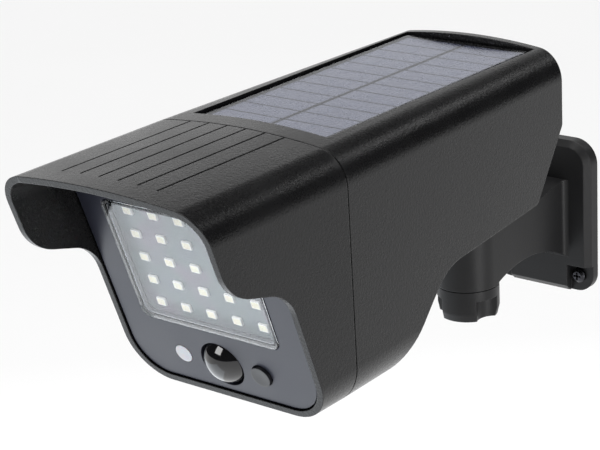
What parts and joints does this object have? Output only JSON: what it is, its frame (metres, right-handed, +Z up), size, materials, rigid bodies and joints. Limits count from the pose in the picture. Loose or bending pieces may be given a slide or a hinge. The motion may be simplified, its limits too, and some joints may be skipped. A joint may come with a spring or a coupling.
{
  "type": "solar wall light",
  "caption": "Solar wall light shaped like a bullet security camera: visor hood, LED window, motion sensor dome and solar panel, on a swivel wall bracket.",
  "frame": {"origin": "centre of the wall plate's back face, on the wall", "axes": "+Y into the wall, so the light faces -Y; +Z up; +X to the right for a viewer who faces the light's front"},
  "size_m": [0.08, 0.2417, 0.1077],
  "materials": {
    "shell_black": "satin, finely textured",
    "face_black": "satin",
    "bracket_black": "satin",
    "dark_gloss": "gloss",
    "clear_plastic": "clear",
    "white_plastic": "satin",
    "seal_rubber": "matte",
    "gasket_foam": "matte",
    "led_board": "light solder mask",
    "led_white": "phosphor",
    "green_board": "solder mask",
    "solar_cell": "gloss",
    "solar_backing": "satin",
    "steel": "zinc plated",
    "brass": "turned",
    "nickel": "nickel plated",
    "cell_wrap": "shrink wrap",
    "inner_black": "moulded",
    "wire_red": "insulation",
    "wire_white": "insulation",
    "fibre": "pressed fibre"
  },
  "bodies": {
    "bracket": {"wall_bracket": "bracket_black", "wall_screws": "steel", "clamp_washer": "steel"},
    "swivel": {"swivel_yoke": "bracket_black", "friction_washer": "fibre", "clamp_bolt": "steel", "tilt_bolt": "steel", "tilt_nut": "steel", "tilt_washers": "steel"},
    "knob": {"clamp_knob": "bracket_black", "knob_nut": "brass"},
    "lamp": {"front_hood": "shell_black", "rear_shell": "shell_black", "seam_gasket": "seal_rubber", "shell_screws": "steel", "face_plate": "face_black", "face_screws": "steel", "led_window": "clear_plastic", "window_gasket": "gasket_foam", "led_board": "led_board", "leds": "led_white", "pir_lens": "dark_gloss", "status_window": "white_plastic", "control_board": "green_board", "pir_sensor": "nickel", "light_sensor": "clear_plastic", "button_switch": "inner_black", "board_screws": "steel", "solar_cover": "clear_plastic", "solar_cells": "solar_cell", "solar_board": "solar_backing", "battery_cell": "cell_wrap", "battery_holder": "inner_black", "battery_contacts": "nickel", "holder_screws": "steel", "solar_leads": "wire_red", "battery_leads": "wire_red", "led_leads": "wire_white"},
    "button": {"push_button": "dark_gloss"}
  },
  "joints": [
    {"name": "pan", "type": "hinge", "parent": "bracket", "child": "swivel", "pos_m": [0, -0.054, 0.003], "axis": [0, 0, 1], "range_deg": [-90, 90]},
    {"name": "tilt", "type": "hinge", "parent": "swivel", "child": "lamp", "pos_m": [0, -0.054, 0.0211], "axis": [1, 0, 0], "range_deg": [-30, 45]},
    {"name": "knob_turn", "type": "hinge", "parent": "swivel", "child": "knob", "pos_m": [0, -0.054, -0.0174], "axis": [0, 0, 1], "range_deg": [-180, 180]},
    {"name": "button_press", "type": "slide", "parent": "lamp", "child": "button", "axis": [0, 0.9461, 0.3239], "range_m": [0, 0.001], "stiffness_N_per_m": 300, "springref_m": -0.001}
  ]
}
